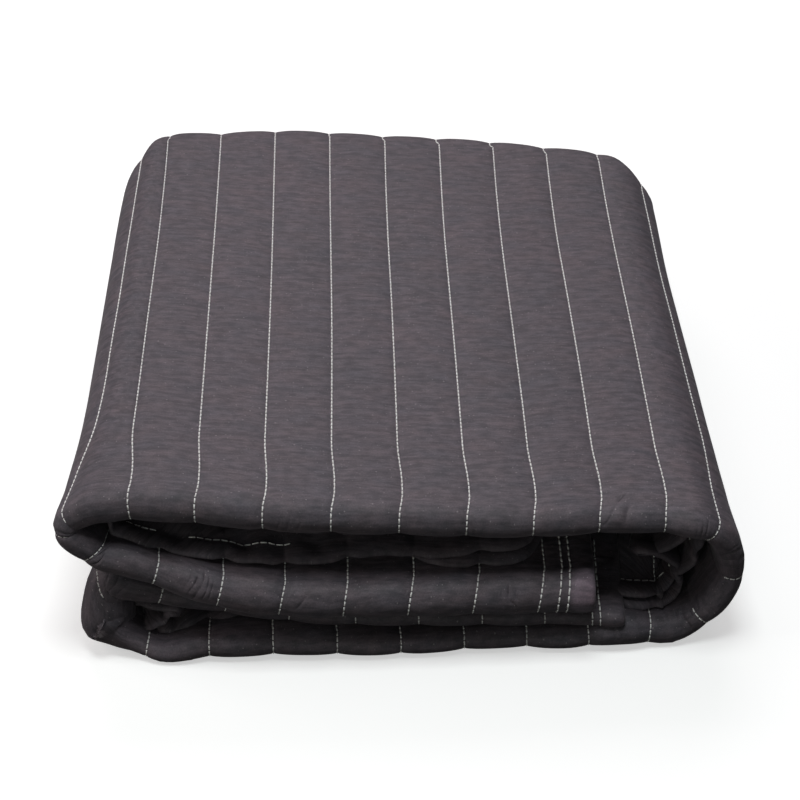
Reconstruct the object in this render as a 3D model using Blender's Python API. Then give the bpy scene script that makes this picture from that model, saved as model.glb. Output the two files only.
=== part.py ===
"""A quilted moving blanket, folded flat for the shelf.

The blanket is one cloth of two faces with a loft between them, sewn through in straight rows.
It is folded twice along the rows, into a strip of four layers, and the strip is then folded
three times across the rows, into four panels: the top panel, the bottom panel, and two inner
panels whose hemmed ends lie in the middle of the pack.

The mesh is worked out in two steps. fold_line gives the outer face of the strip, seen along
the rows, from hem to hem. cloth_point then places a point of the cloth on one of the four
layers of the strip. Deep in the pack the layers lie flat. At the front, where the rows turn
round a loose roll, they follow the FRONT table instead.

Millimetres are used in the tables and sizes, and metres in the finished mesh.
X runs across the rows, Y from the front to the back, Z up. The origin is under the middle.
"""
import math

import bmesh
import bpy
import numpy as np

MM = 0.001

# the flat blanket
ACROSS_ROWS = 1824.0          # hem to hem, across the sewn rows (72 in)
ALONG_ROWS = 2032.0           # along the sewn rows (80 in)
ROW_PITCH = 44.5
FIRST_ROW = 33.0              # from the first hem's edge
ROW_COUNT = 40
LOFT = 6.5                    # thickness of the quilt between two rows
SEWN_LOFT = 3.6               # thickness in a sewn row
GROOVE = 6.5                  # half width of the trough along a row
HEM_LOFT = 4.4
HEM_WIDTH = 6.0
INNER_LOFT = 6.0              # the third and fourth layers are pressed a little
PLEATED_LOFT = 4.2            # and more where they are pleated

# the pack
HEIGHT = 126.0                # at the middle of the top
LEAN = 0.105                  # how much taller the left side is than the middle
CENTRE_Y = -6.2               # the pack's middle, moved to the origin
HALF_WIDTH = 234.0
LAYER_STEP = 7.87             # from one layer of the strip to the next
PANEL_GAP = 1.4
UPPER_FOLD_X = -201.0         # where the upper left fold begins to turn
LOWER_FOLD_X = -191.0
SPINE_X = 184.0               # where the right side begins to turn
SPINE_BULGE = 50.0
UPPER_HEM_X = 130.0
LOWER_HEM_X = 152.0
SETTLED = 112.0               # depth behind the front roll at which the layers lie flat
SIDE_DRAW = 7.0               # how far the two sides draw in behind the front
BACK_DRAW = 6.0               # and how much further at the back
NEAR_DRAW = 5.0               # and close behind it, more on the left than on the right
RIGHT_SHARE = 0.7
TOP_KEPT = 0.45               # share of its width that the right shoulder keeps
DRAWN_FROM = 168.0            # the sides begin this far from the middle
SHOULDER = 6.0                # how full the right side's upper edge is

FLATTENED = 1.2               # the weight of the pack presses the lowest points flat

MIDDLE = HEIGHT / 2

# the fold line's stretches: cloth taken up by each, in millimetres, from hem to hem
STRETCHES = (
    ("upper inner panel", 331.0),
    ("upper left fold", 127.0),
    ("top panel", 385.0),
    ("right side", 165.0),
    ("bottom panel", 375.0),
    ("lower left fold", 98.0),
    ("lower inner panel", 343.0),
)

# The front of the strip, a row for each place along the fold line:
# cloth   how far along the cloth, from the first hem
# dx, dz  how far the outer face is moved at the front
# roll    thickness of the front roll
# nose    where the roll's foremost line is (Y)
# back    where the strip's back fold ends (Y)
FRONT = np.array((
    # cloth   dx    dz   roll   nose   back
    (0.0, 0.0, -28.0, 34.0, -258.5, 226.0),
    (60.0, 0.0, -27.5, 32.0, -260.0, 228.0),
    (130.0, 0.0, -26.5, 28.5, -261.5, 230.0),
    (190.0, 0.0, -26.5, 28.0, -262.5, 230.0),
    (230.0, 0.0, -23.5, 28.0, -262.0, 228.0),
    (262.0, 0.0, -17.5, 26.0, -259.0, 224.0),
    (292.0, 0.0, -9.0, 22.0, -252.0, 214.0),
    (331.0, 2.0, 2.0, 20.0, -248.0, 192.0),
    (362.0, 5.0, 2.0, 20.0, -246.0, 176.0),
    (394.5, -1.5, -2.0, 20.0, -244.0, 180.0),
    (426.0, -4.0, -6.0, 21.0, -243.0, 204.0),
    (458.0, -3.0, -2.0, 24.0, -242.0, 229.0),
    (478.0, -1.0, 0.0, 25.0, -241.0, 237.0),
    (522.0, 0.0, 0.0, 25.0, -243.0, 242.5),
    (567.0, 0.0, 0.0, 25.0, -248.0, 249.0),
    (656.0, 0.0, 0.0, 25.0, -250.0, 247.0),
    (745.0, 0.0, 0.0, 24.0, -251.0, 243.0),
    (790.0, 0.0, 0.0, 23.0, -247.0, 237.0),
    (834.0, 0.0, 0.0, 22.0, -246.0, 230.0),
    (856.0, -1.5, 0.0, 22.0, -249.0, 222.0),
    (878.5, -5.0, 2.0, 21.0, -250.0, 200.0),
    (900.0, -5.0, 4.0, 20.0, -248.0, 180.0),
    (923.0, -0.5, 0.0, 20.0, -245.0, 168.0),
    (945.0, -2.0, -3.0, 20.0, -245.0, 165.0),
    (967.5, -4.5, -1.0, 20.0, -247.0, 172.0),
    (1008.0, -5.0, -2.0, 24.0, -250.0, 212.0),
    (1030.0, -7.0, 0.0, 26.0, -253.0, 226.0),
    (1070.0, -6.5, 0.0, 19.0, -254.0, 236.0),
    (1110.0, -5.0, 0.0, 18.5, -252.5, 238.5),
    (1190.0, -3.5, 0.0, 17.5, -257.0, 241.0),
    (1280.0, -2.0, 0.0, 21.0, -257.0, 240.0),
    (1324.0, -1.0, 0.0, 18.0, -257.0, 233.0),
    (1368.0, 0.0, 0.0, 14.5, -256.0, 214.0),
    (1390.0, -1.0, 2.0, 20.0, -251.0, 198.0),
    (1412.5, -3.0, 0.0, 24.0, -250.0, 184.0),
    (1435.0, 2.0, 5.0, 26.0, -246.0, 178.0),
    (1457.0, 2.0, 8.0, 29.0, -243.0, 184.0),
    (1481.0, 0.0, 3.0, 30.0, -243.0, 202.0),
    (1511.0, 0.0, -10.0, 20.0, -242.0, 220.0),
    (1541.0, 0.0, -18.5, 16.5, -240.0, 228.0),
    (1573.0, 0.0, -25.5, 14.5, -241.0, 230.0),
    (1620.0, 0.0, -30.5, 14.5, -243.0, 230.0),
    (1680.0, 0.0, -29.0, 14.5, -247.0, 230.0),
    (1790.0, 0.0, -28.0, 14.5, -250.0, 229.0),
    (1824.0, 0.0, -27.0, 15.0, -253.0, 228.0),
))

# The two free edges inside the strip, a row for each place along the fold line:
# set3, set4   how far behind the nose the third and fourth layers end
# off3, off4   how far inside the outer face they lie there
EDGES = np.array((
    # cloth  set3   set4   off3   off4
    (0.0, 78.0, 84.0, 22.0, 30.0),
    (22.0, 66.0, 74.0, 27.0, 35.0),
    (42.0, 34.0, 38.0, 34.0, 42.0),
    (75.0, 25.0, 29.0, 34.5, 42.0),
    (115.0, 20.0, 28.0, 32.0, 39.5),
    (140.0, 26.0, 32.0, 31.5, 39.0),
    (175.0, 26.0, 28.0, 31.5, 39.0),
    (230.0, 24.0, 26.0, 31.0, 38.5),
    (262.0, 21.0, 23.0, 29.0, 36.0),
    (292.0, 18.0, 21.0, 26.0, 33.0),
    (314.0, 18.0, 21.0, 23.5, 30.5),
    (331.0, 24.0, 28.0, 19.5, 26.0),
    (346.0, 46.0, 48.0, 17.0, 23.0),
    (362.0, 60.0, 62.0, 15.5, 21.0),
    (394.5, 62.0, 64.0, 15.5, 21.0),
    (430.0, 56.0, 54.0, 17.0, 23.5),
    (458.0, 48.0, 42.0, 23.0, 30.0),
    (497.0, 44.0, 34.0, 31.0, 39.0),
    (540.0, 42.0, 30.0, 35.0, 43.0),
    (656.0, 42.0, 30.0, 36.0, 44.0),
    (745.0, 46.0, 38.0, 35.0, 43.0),
    (790.0, 56.0, 54.0, 31.0, 39.0),
    (825.0, 50.0, 54.0, 27.0, 35.0),
    (848.0, 34.0, 40.0, 26.0, 34.0),
    (923.0, 26.0, 30.0, 24.0, 32.0),
    (975.0, 22.0, 26.0, 26.0, 33.0),
    (1008.0, 18.0, 22.0, 28.0, 35.0),
    (1035.0, 22.0, 26.0, 28.0, 35.5),
    (1080.0, 84.0, 88.0, 17.0, 22.0),
    (1190.0, 88.0, 90.0, 17.0, 22.0),
    (1230.0, 88.0, 84.0, 17.0, 22.0),
    (1262.0, 84.0, 44.0, 17.0, 21.0),
    (1290.0, 78.0, 24.0, 16.0, 20.0),
    (1320.0, 70.0, 17.0, 15.0, 20.0),
    (1350.0, 62.0, 14.0, 15.0, 20.5),
    (1375.0, 58.0, 12.0, 16.0, 21.5),
    (1405.0, 54.0, 16.0, 17.0, 25.0),
    (1432.0, 54.0, 20.0, 18.0, 27.5),
    (1457.0, 56.0, 28.0, 17.0, 27.0),
    (1481.0, 60.0, 52.0, 15.0, 22.0),
    (1500.0, 66.0, 68.0, 13.5, 18.0),
    (1573.0, 86.0, 90.0, 14.0, 18.5),
    (1824.0, 88.0, 92.0, 17.0, 22.0),
))

# Slack of the inner layers, pushed into the hollow of the right side as pleats:
# cloth  where the pleat's crest is;  half  its half width;  deep  how far the fourth layer stands in
PLEATS = (
    (860.0, 18.5, 14.0),
    (900.75, 22.25, 25.0),
    (945.25, 22.25, 21.0),
    (989.75, 22.25, 15.0),
)


def smooth(t):
    """0 to 1 with level ends."""
    t = np.clip(t, 0.0, 1.0)
    return t * t * (3.0 - 2.0 * t)


def along(table, column, cloth):
    """A column of a table at any place along the cloth, on a smooth curve through its rows."""
    at = table[:, 0]
    value = table[:, column]
    slope = np.gradient(value, at)
    i = np.clip(np.searchsorted(at, cloth, side="right") - 1, 0, len(at) - 2)
    run = at[i + 1] - at[i]
    t = (cloth - at[i]) / run
    low = (1 + 2 * t) * (1 - t) ** 2 * value[i] + t * (1 - t) ** 2 * run * slope[i]
    high = t * t * (3 - 2 * t) * value[i + 1] + t * t * (t - 1) * run * slope[i + 1]
    return low + high


def fold_line(cloth):
    """Outer face of the strip deep in the pack: x and z at each place along the cloth."""
    upper = MIDDLE + PANEL_GAP / 2
    lower = MIDDLE - PANEL_GAP / 2
    rises = ((HEIGHT - upper) / 2, lower / 2)
    x = np.zeros_like(cloth)
    z = np.zeros_like(cloth)
    start = 0.0
    for name, length in STRETCHES:
        here = (cloth >= start - 1e-9) if start == 0.0 else (cloth > start)
        part = np.clip((cloth - start) / length, 0.0, 1.0)
        turn = math.pi * part
        if name == "upper inner panel":
            sx = UPPER_HEM_X + (UPPER_FOLD_X - UPPER_HEM_X) * part
            sz = upper + 0 * part
        elif name == "upper left fold":
            sx = UPPER_FOLD_X - rises[0] * np.sin(turn)
            sz = upper + rises[0] * (1 - np.cos(turn))
        elif name == "top panel":
            sx = UPPER_FOLD_X + (SPINE_X - UPPER_FOLD_X) * part
            sz = HEIGHT + 0 * part
        elif name == "right side":
            full = SHOULDER * np.sin(2 * turn) ** 2 * (turn < math.pi / 2)
            sx = SPINE_X + (SPINE_BULGE + full) * np.sin(turn)
            sz = MIDDLE + (MIDDLE + full) * np.cos(turn)
        elif name == "bottom panel":
            sx = SPINE_X + (LOWER_FOLD_X - SPINE_X) * part
            sz = 0 * part
        elif name == "lower left fold":
            sx = LOWER_FOLD_X - rises[1] * np.sin(turn)
            sz = rises[1] * (1 - np.cos(turn))
        else:
            sx = LOWER_FOLD_X + (LOWER_HEM_X - LOWER_FOLD_X) * part
            sz = lower + 0 * part
        x = np.where(here, sx, x)
        z = np.where(here, sz, z)
        start += length
    return x, z


def inward(x_of, z_of, cloth):
    """Unit direction from the outer face into the pack, for a line given as functions of the cloth."""
    step = 1.0
    ahead = np.minimum(cloth + step, ACROSS_ROWS)
    behind = np.maximum(cloth - step, 0.0)
    dx = x_of(ahead) - x_of(behind)
    dz = z_of(ahead) - z_of(behind)
    size = np.hypot(dx, dz)
    return dz / size, -dx / size


def front_x(cloth):
    return fold_line(cloth)[0] + along(FRONT, 1, cloth)


def front_z(cloth):
    return fold_line(cloth)[1] + along(FRONT, 2, cloth)


def pleat_push(cloth):
    push = np.zeros_like(cloth)
    for crest, half, deep in PLEATS:
        push = push + deep * smooth(1.0 - np.abs(cloth - crest) / half)
    return push


# The section of the strip, from the fourth layer's free edge to the third layer's free edge.
# Each row: the stretch, and where on it: 0 at its front end and 1 at its back end on a layer,
# and 0 to 1 along the turn on a fold.
SECTION = (
    [("layer 4", f) for f in (0.0, 0.04, 0.14, 0.5)]
    + [("back fold", f) for f in (0.0, 0.17, 0.33, 0.5, 0.67, 0.83, 1.0)]
    + [("layer 1", f) for f in (0.72, 0.45, 0.2, 0.07)]
    + [("front roll", f) for f in (0.0, 0.14, 0.28, 0.42, 0.58, 0.72, 0.86, 1.0)]
    + [("layer 2", f) for f in (0.08, 0.2, 0.55)]
    + [("inner back fold", f) for f in (0.0, 0.33, 0.67, 1.0)]
    + [("layer 3", f) for f in (0.5, 0.14, 0.04, 0.0)]
)

BACK_REACH = 12.5             # how far the outer back fold curves out
INNER_REACH = 4.4


def cloth_point(cloth, stretch, where):
    """Middle of the quilt at a place along the cloth and on the strip's section, before leaning."""
    nose = along(FRONT, 4, cloth)
    back = along(FRONT, 5, cloth)
    roll = along(FRONT, 3, cloth)
    level = [LOFT / 2 + LAYER_STEP * i for i in range(4)]
    reach = 0.55 * roll - LOFT / 2
    roll_y = nose + LOFT / 2 + reach
    back_y = back - LOFT / 2 - BACK_REACH
    inner_back_y = back - 1.5 * LOFT - 1.6 - INNER_REACH
    push = pleat_push(cloth)
    if stretch in ("layer 3", "layer 4"):
        number = int(stretch[-1])
        edge = nose + along(EDGES, number - 2, cloth)
        end = inner_back_y if number == 3 else back_y
        y = edge + (end - edge) * where
        deep = level[number - 1] + 0 * cloth
        shallow = along(EDGES, number, cloth)
        fold_in = push * (0.5 if number == 3 else 1.0) * smooth((back_y - y) / 60)
        deep = deep + fold_in
        shallow = shallow + fold_in
    elif stretch == "back fold":
        turn = math.pi * (where - 0.5)
        middle = (level[0] + level[3]) / 2
        y = back_y + BACK_REACH * math.cos(turn)
        deep = middle - (level[3] - middle) * math.sin(turn) + 0 * cloth
        shallow = deep
    elif stretch == "inner back fold":
        turn = math.pi * (where - 0.5)
        middle = (level[1] + level[2]) / 2
        y = inner_back_y + INNER_REACH * math.cos(turn)
        deep = middle + (level[2] - middle) * math.sin(turn) + 0 * cloth
        shallow = deep
    elif stretch == "front roll":
        turn = math.pi * where
        y = roll_y - reach * math.sin(turn)
        deep = roll / 2 - (roll / 2 - LOFT / 2) * math.cos(turn)
        shallow = deep
    elif stretch == "layer 1":
        y = roll_y + (back_y - roll_y) * where
        deep = level[0] + 0 * cloth
        shallow = deep
    else:
        y = roll_y + (inner_back_y - roll_y) * where
        deep = level[1] + 0 * cloth
        shallow = roll - LOFT / 2
    loose = 1 - smooth((y - nose - 14.0) / (SETTLED - 14.0))
    x, z = fold_line(cloth)
    nx, nz = inward(lambda c: fold_line(c)[0], lambda c: fold_line(c)[1], cloth)
    fx, fz = front_x(cloth), front_z(cloth)
    fnx, fnz = inward(front_x, front_z, cloth)
    px = (1 - loose) * (x + nx * deep) + loose * (fx + fnx * shallow)
    pz = (1 - loose) * (z + nz * deep) + loose * (fz + fnz * shallow)
    return px, y, pz


def lean(x, y, z):
    """The pack leans, its left side the taller, and its sides draw in towards the back."""
    drawn = SIDE_DRAW * smooth((y + 250.0) / 160.0) + BACK_DRAW * smooth((y + 60.0) / 280.0)
    near = NEAR_DRAW * smooth((y + 250.0) / 50.0)
    kept = 1 - TOP_KEPT * smooth((z - 84.0) / 30.0)
    drawn = np.where(x > 0, (drawn + RIGHT_SHARE * near) * kept, drawn + near)
    x = x - np.sign(x) * drawn * smooth((np.abs(x) - DRAWN_FROM) / 50.0)
    z = z * (1 - LEAN * np.clip(x / HALF_WIDTH, -1.1, 1.1))
    return x, y - CENTRE_Y, z


def loft_at(cloth, stretch):
    """Thickness of the quilt: full between the rows, drawn in along them, thin at the hems."""
    nearest = FIRST_ROW + ROW_PITCH * np.clip(np.round((cloth - FIRST_ROW) / ROW_PITCH), 0, ROW_COUNT - 1)
    trough = 1 - smooth(np.abs(cloth - nearest) / GROOVE)
    loft = LOFT - (LOFT - SEWN_LOFT) * trough
    hem = np.minimum(cloth, ACROSS_ROWS - cloth)
    loft = np.where(hem < HEM_WIDTH, HEM_LOFT, loft)
    if stretch in ("layer 3", "layer 4", "inner back fold"):
        loft = np.minimum(loft, np.where(pleat_push(cloth) > 0, PLEATED_LOFT, INNER_LOFT))
    return loft


def row_places():
    """Places along the cloth for the fine, the part fine and the coarse rows of points."""
    rows = [FIRST_ROW + ROW_PITCH * row for row in range(ROW_COUNT)]
    hems = [0.0, ACROSS_ROWS]
    fine = hems + [HEM_WIDTH - 1, ACROSS_ROWS - HEM_WIDTH + 1] + rows
    outside = hems + rows
    facing_out = STRETCHES[0][1], ACROSS_ROWS - STRETCHES[-1][1]
    for at in rows:
        fine += [at - GROOVE, at + GROOVE]
        if facing_out[0] < at < facing_out[1]:
            outside += [at - GROOVE, at + GROOVE]
    coarse = hems + rows
    turning = []
    start = 0.0
    for name, length in STRETCHES:
        if name.endswith("fold"):
            turning += [start + length * step / 7 for step in range(8)]
        if name == "right side":
            turning += [rows[18] + ROW_PITCH * step / 4 for step in range(17)]
        start += length
    for places in (fine, outside, coarse):
        for at in turning:
            if min(abs(at - place) for place in places) > 4.4:
                places.append(at)
    return [np.array(sorted(places)) for places in (fine, outside, coarse)]


def surface_grid(cloth):
    """Middle points of the quilt, a row for each step of the section and a column for each place."""
    rows = []
    for stretch, where in SECTION:
        x, y, z = lean(*cloth_point(cloth, stretch, where))
        rows.append(np.stack([x, y, z], axis=1))
    return np.array(rows)


def normals(grid):
    """Unit normals of a grid of points, towards the blanket's outer face."""
    down = np.gradient(grid, axis=0)
    across = np.gradient(grid, axis=1)
    n = np.cross(down, across)
    return n / np.linalg.norm(n, axis=2, keepdims=True)


def blanket_mesh():
    """Points and faces: once round the section, over the outer face and back under the inner one."""
    fine, outside, coarse = row_places()
    whole = np.unique(np.round(np.concatenate([fine, outside, coarse]), 6))
    grid = surface_grid(whole)
    normal = normals(grid)
    places_for = {"front roll": fine, "back fold": fine, "layer 1": outside}
    loop = []
    for i, (stretch, where) in enumerate(SECTION):
        half = loft_at(whole, stretch)[:, None] / 2
        loop.append((grid[i] + normal[i] * half, places_for.get(stretch, coarse)))
    for i, (stretch, where) in reversed(list(enumerate(SECTION))):
        half = loft_at(whole, stretch)[:, None] / 2
        loop.append((grid[i] - normal[i] * half, coarse))
    verts = []
    rings = []
    for points, places in loop:
        chosen = points[np.searchsorted(whole, places - 1e-5)]
        chosen[:, 2] = np.where(chosen[:, 2] < FLATTENED, 0.0, chosen[:, 2])
        first = len(verts)
        verts += [tuple(point * MM) for point in chosen]
        rings.append((list(range(first, len(verts))), places))
    faces = []
    for k in range(len(rings)):
        faces += zip_rows(rings[k], rings[(k + 1) % len(rings)])
    faces.append([ids[0] for ids, _ in rings])
    faces.append([ids[-1] for ids, _ in reversed(rings)])
    return verts, faces


def zip_rows(first, second):
    """Faces between two rows of points that may have different places along the cloth."""
    ids_a, at_a = first
    ids_b, at_b = second
    faces = []
    i = j = 0
    while i < len(ids_a) - 1 or j < len(ids_b) - 1:
        next_a = at_a[i + 1] if i < len(ids_a) - 1 else math.inf
        next_b = at_b[j + 1] if j < len(ids_b) - 1 else math.inf
        if abs(next_a - next_b) < 1e-6:
            faces.append([ids_a[i], ids_b[j], ids_b[j + 1], ids_a[i + 1]])
            i += 1
            j += 1
        elif next_a < next_b:
            faces.append([ids_a[i], ids_b[j], ids_a[i + 1]])
            i += 1
        else:
            faces.append([ids_a[i], ids_b[j], ids_b[j + 1]])
            j += 1
    return faces


def quilted_cloth():
    material = bpy.data.materials.new("charcoal quilted cloth")
    material.use_nodes = True
    shader = material.node_tree.nodes["Principled BSDF"]
    shader.inputs["Base Color"].default_value = (0.085, 0.078, 0.082, 1.0)
    shader.inputs["Roughness"].default_value = 0.75
    shader.inputs["Metallic"].default_value = 0.0
    return material


def main():
    for old in list(bpy.data.objects):
        bpy.data.objects.remove(old, do_unlink=True)
    verts, faces = blanket_mesh()
    mesh = bpy.data.meshes.new("blanket")
    mesh.from_pydata(verts, [], faces)
    shape = bmesh.new()
    shape.from_mesh(mesh)
    bmesh.ops.triangulate(shape, faces=shape.faces[:])
    bmesh.ops.recalc_face_normals(shape, faces=shape.faces[:])
    shape.to_mesh(mesh)
    shape.free()
    mesh.shade_smooth()
    blanket = bpy.data.objects.new("blanket", mesh)
    bpy.context.scene.collection.objects.link(blanket)
    mesh.materials.append(quilted_cloth())
    print("triangles", len(mesh.polygons))


main()
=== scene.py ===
# %% [markdown]
# # A moving blanket, folded for the shelf
#
# The blanket is one quilted cloth: two woven faces, a thin loft between them, and straight sewn
# rows that hold the three together. It is folded into a strip of four layers, and the strip is
# folded into four panels. This lesson builds the folded cloth, sews its rows and gives it its
# looks.
#
# Folded cloth could be simulated. Here each fold is placed in named sizes, because a pack of
# sixteen layers has to keep the exact order in which its layers lie.

import math

import bpy
import numpy as np
from mathutils import Matrix, Vector


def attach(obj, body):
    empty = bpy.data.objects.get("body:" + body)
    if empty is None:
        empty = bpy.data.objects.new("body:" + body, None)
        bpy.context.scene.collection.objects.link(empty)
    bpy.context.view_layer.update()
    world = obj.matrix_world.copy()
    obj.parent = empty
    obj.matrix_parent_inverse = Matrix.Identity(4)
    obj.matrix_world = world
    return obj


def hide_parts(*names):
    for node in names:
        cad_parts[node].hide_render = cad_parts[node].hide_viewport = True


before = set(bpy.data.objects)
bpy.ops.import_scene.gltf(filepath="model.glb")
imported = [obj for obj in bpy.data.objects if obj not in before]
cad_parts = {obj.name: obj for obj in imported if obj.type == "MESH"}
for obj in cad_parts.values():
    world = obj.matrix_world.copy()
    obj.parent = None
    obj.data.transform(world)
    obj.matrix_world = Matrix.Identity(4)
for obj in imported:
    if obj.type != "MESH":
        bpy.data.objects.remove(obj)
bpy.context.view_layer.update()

# %% [markdown]
# ## Sizes of the cloth and of the pack
#
# A maker would first write down the flat size, the distance between the sewn rows and how thick the
# quilt is. All of them are in millimetres, and only the finished mesh is in metres. The same sizes
# shape the solid that this cloth lies on, so the two agree without any fitting.

# %% Sizes
MM = 0.001
ACROSS_ROWS = 1824.0    # hem to hem, across the sewn rows (72 in)
ROW_PITCH = 44.5
FIRST_ROW = 33.0        # from the first hem's edge
ROW_COUNT = 40
LOFT = 6.5              # thickness of the quilt between two rows
SEWN_LOFT = 3.4         # thickness in a sewn row

HEIGHT = 126.0          # at the middle of the top
MIDDLE = HEIGHT / 2
LEAN = 0.105            # how much taller the left side is than the middle
HALF_WIDTH = 234.0
CENTRE_Y = -6.2         # the pack's middle, moved to the origin
LAYER_STEP = 7.87       # from one layer of the strip to the next
PANEL_GAP = 1.4
UPPER_FOLD_X = -201.0   # where the upper left fold begins to turn
LOWER_FOLD_X = -191.0
SPINE_X = 184.0         # where the right side begins to turn
SPINE_BULGE = 50.0
UPPER_HEM_X = 130.0
LOWER_HEM_X = 152.0
SHOULDER = 6.0          # how full the right side's upper edge is

LOOSE = 14.0            # depth behind the front at which the layers begin to settle
SETTLED = 112.0         # and at which they lie flat
ROLL_REACH = 0.55       # how far the front roll reaches forward, as a share of its thickness
ROLL_FALL = 1.0         # how far the top of the front roll falls behind its crown
HEM_FALL = 1.6          # how far the innermost layer falls behind its edge in the upper gap
BACK_REACH = 12.5       # how far the outer back fold curves out
INNER_REACH = 4.4
INNER_GAP = 1.6         # between the inner back fold and the outer one
SLACK_END = 60.0        # the slack dies out over this length before the back fold

FRONT_Y = -250.0        # about where the front stands
SIDE_DRAW = 7.0         # how far the two sides draw in behind the front
BACK_DRAW = 6.0         # and how much further at the back
NEAR_DRAW = 5.0         # and close behind the front, more on the left than on the right
MID_DRAW = 2.2          # and half way back
RIGHT_SHARE = 0.7
TOP_KEPT = 0.45         # share of its width that the right shoulder keeps
DRAWN_FROM = 168.0      # the sides begin this far from the middle

# cloth taken up by each stretch of the fold line, from hem to hem
STRETCHES = (
    ("upper inner panel", 331),
    ("upper left fold", 127),
    ("top panel", 385),
    ("right side", 165),
    ("bottom panel", 375),
    ("lower left fold", 98),
    ("lower inner panel", 343),
)
print("cloth in the fold line", sum(length for _, length in STRETCHES), "mm")

# %% [markdown]
# ## The loose front
#
# At the front the rows turn round a loose roll that is different at every place along the cloth: it
# sags between the panels, and it crumples at the folds. One table says how the outer face moves
# there, how thick the roll is, and how far forward it comes. A second table says where the two free
# edges end inside the strip. A smooth curve is drawn through each column. The front could be
# sculpted, but a table can be read, and changed by one number at a time.

# %% Front
FRONT = np.array((
    # cloth   dx    dz   roll   nose   back
    (0, 0, -28, 34, -258.5, 226),
    (60, 0, -27.5, 32, -260, 228),
    (130, 0, -26.5, 28.5, -261.5, 230),
    (190, 0, -26.5, 28, -262.5, 230),
    (230, 0, -23.5, 28, -262, 228),
    (262, 0, -17.5, 26, -259, 224),
    (292, 0, -9, 22, -252, 214),
    (331, 2, 2, 20, -248, 192),
    (362, 5, 2, 20, -246, 176),
    (394.5, -1.5, -2, 20, -244, 180),
    (426, -4, -6, 21, -243, 204),
    (458, -3, -2, 24, -242, 229),
    (478, -1, 0, 25, -241, 237),
    (522, 0, 0, 25, -243, 242.5),
    (567, 0, 0, 25, -248, 249),
    (656, 0, 0, 25, -250, 247),
    (745, 0, 0, 24, -251, 243),
    (790, 0, 0, 23, -247, 237),
    (834, 0, 0, 22, -246, 230),
    (856, -1.5, 0, 22, -249, 222),
    (878.5, -5, 2, 21, -250, 200),
    (900, -2.8, 4, 20, -248, 180),
    (923, 1.6, 0, 20, -245, 168),
    (945, -2, -3, 20, -245, 165),
    (967.5, -4.5, -1, 20, -247, 172),
    (1008, -5, -2, 24, -250, 212),
    (1030, -7, 0, 26, -253, 226),
    (1070, -6.5, 0, 19, -254, 236),
    (1110, -5, 0, 18.5, -252.5, 238.5),
    (1190, -3.5, 0, 17.5, -257, 241),
    (1280, -2, 0, 21, -257, 240),
    (1324, -1, 0, 18, -257, 233),
    (1368, 0, 0, 14.5, -256, 214),
    (1376, -1, 1, 18, -253, 207),
    (1384, -2, 0.5, 30, -252, 202),
    (1392, -3, 0, 38, -251.5, 197),
    (1412.5, -7, -2.5, 42, -251, 184),
    (1435, 1, 4, 38, -246, 178),
    (1457, 2, 8, 33, -243, 184),
    (1481, 0, 3, 30, -243, 202),
    (1511, 0, -10, 20, -242, 220),
    (1541, 0, -18.5, 16.5, -240, 228),
    (1573, 0, -25.5, 14.5, -241, 230),
    (1620, 0, -30.5, 14.5, -243, 230),
    (1680, 0, -29, 14.5, -247, 230),
    (1790, 0, -28, 14.5, -250, 229),
    (1824, 0, -27, 15, -253, 228),
))
print("front table", FRONT.shape)

# %% Free edges
EDGES = np.array((
    # cloth  set3   set4   off3   off4
    (0, 78, 84, 22, 30),
    (22, 66, 74, 27, 35),
    (42, 34, 38, 34, 42),
    (75, 25, 29, 33.5, 41),
    (115, 30, 28, 30, 37),
    (140, 44, 31, 28, 35.5),
    (175, 50, 27, 26, 34),
    (230, 50, 25, 24, 32.5),
    (262, 48, 22, 22, 30),
    (292, 46, 20, 18, 25),
    (314, 44, 20, 15.5, 22),
    (331, 46, 22, 14.5, 21),
    (346, 52, 28, 14.5, 21),
    (362, 60, 44, 15.5, 21),
    (394.5, 62, 64, 15.5, 21),
    (430, 56, 54, 17, 23.5),
    (458, 48, 42, 23, 30),
    (497, 44, 34, 31, 39),
    (540, 42, 30, 35, 43),
    (656, 42, 30, 36, 44),
    (745, 46, 38, 35, 43),
    (790, 56, 54, 31, 39),
    (825, 50, 54, 27, 35),
    (848, 34, 40, 26, 34),
    (923, 26, 30, 24, 32),
    (975, 22, 26, 26, 33),
    (1008, 18, 22, 27, 32.5),
    (1035, 22, 26, 27, 32.5),
    (1080, 84, 88, 17, 22),
    (1190, 88, 90, 17, 22),
    (1230, 88, 84, 17, 22),
    (1262, 84, 44, 17, 21),
    (1290, 78, 30, 16, 20),
    (1320, 70, 25, 15, 20),
    (1350, 62, 22, 15, 20.5),
    (1375, 58, 17, 16, 21.5),
    (1405, 54, 11, 17, 25),
    (1432, 54, 7, 18, 27.5),
    (1457, 56, 12, 17, 27),
    (1481, 60, 40, 15, 22),
    (1500, 66, 68, 13.5, 18),
    (1573, 86, 90, 14, 18.5),
    (1700, 90, 94, 16, 21),
    (1750, 116, 120, 17, 22),
    (1824, 124, 128, 17, 22),
))
print("edge table", EDGES.shape)

# %% Smooth helpers
def smooth(t):
    """0 to 1 with level ends."""
    t = np.clip(t, 0.0, 1.0)
    return t * t * (3.0 - 2.0 * t)


def rise(value, start, over):
    """0 up to start, then smoothly up to 1 over this length."""
    return smooth((value - start) / over)


def fall(value, end, over):
    """1 at first, then smoothly down to 0 at end, over this length."""
    return smooth((end - value) / over)


def peak(value, crest, half):
    """1 at the crest, and smoothly down to 0 at this distance on both sides of it."""
    return smooth(1.0 - np.abs(value - crest) / half)


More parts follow.
